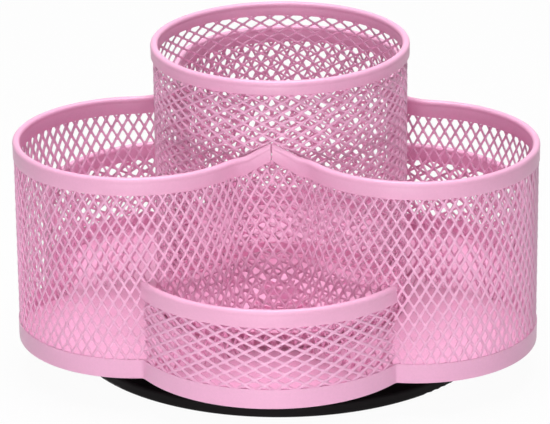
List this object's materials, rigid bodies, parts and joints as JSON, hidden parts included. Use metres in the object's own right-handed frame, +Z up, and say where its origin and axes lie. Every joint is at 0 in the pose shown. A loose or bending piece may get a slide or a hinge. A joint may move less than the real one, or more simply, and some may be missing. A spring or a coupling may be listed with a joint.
{
  "type": "rotating pen holder",
  "caption": "Mesh desk organiser with a tall round cup, lobed pockets and low trays standing in one flower-shaped pan that turns on a ball-bearing base.",
  "frame": {"origin": "on the spin axis at table level, centre of the pad under the base", "axes": "+Z up along the spin axis, -Y towards the tray that faces the camera at rest, +X to the right of that view"},
  "size_m": [0.1636, 0.173, 0.1001],
  "materials": {
    "mesh_pink": "satin powder coat on expanded metal mesh",
    "rim_pink": "satin powder coat",
    "pan_pink": "satin powder coat",
    "base_black": "fine moulded grain",
    "foot_rubber": "matte",
    "race_steel": "pressed and zinc plated",
    "ball_steel": "polished",
    "cage_plastic": "moulded",
    "plate_black": "satin",
    "bush_plastic": "moulded in the colour of the pan"
  },
  "bodies": {
    "base": {"base_disc": "base_black", "base_feet": "foot_rubber", "lower_race": "race_steel", "pivot_post": "pan_pink", "pivot_washer": "pan_pink", "pivot_nut": "pan_pink"},
    "bearing": {"ball_cage": "cage_plastic", "bearing_balls": "ball_steel"},
    "carousel": {"upper_race": "race_steel", "turn_plate": "plate_black", "pivot_bush": "bush_plastic", "plate_screws": "pan_pink", "floor_pan": "pan_pink", "cup_wall": "mesh_pink", "cup_rim": "rim_pink", "cup_foot": "rim_pink", "lobe_wall_left": "mesh_pink", "lobe_rim_left": "rim_pink", "lobe_wall_right": "mesh_pink", "lobe_rim_right": "rim_pink", "lobe_wall_rear": "mesh_pink", "lobe_rim_rear": "rim_pink", "tray_wall_front": "mesh_pink", "tray_rim_front": "rim_pink", "tray_wall_left": "mesh_pink", "tray_rim_left": "rim_pink", "tray_wall_right": "mesh_pink", "tray_rim_right": "rim_pink"}
  },
  "joints": [
    {"name": "carousel_spin", "type": "hinge", "parent": "base", "child": "carousel", "pos_m": [0, 0, 0.011], "axis": [0, 0, 1], "continuous": true},
    {"name": "bearing_spin", "type": "hinge", "parent": "base", "child": "bearing", "pos_m": [0, 0, 0.0071], "axis": [0, 0, 1], "continuous": true}
  ],
  "couplings": [
    {"joint": "bearing_spin", "follows": "carousel_spin", "ratio": 0.5}
  ]
}
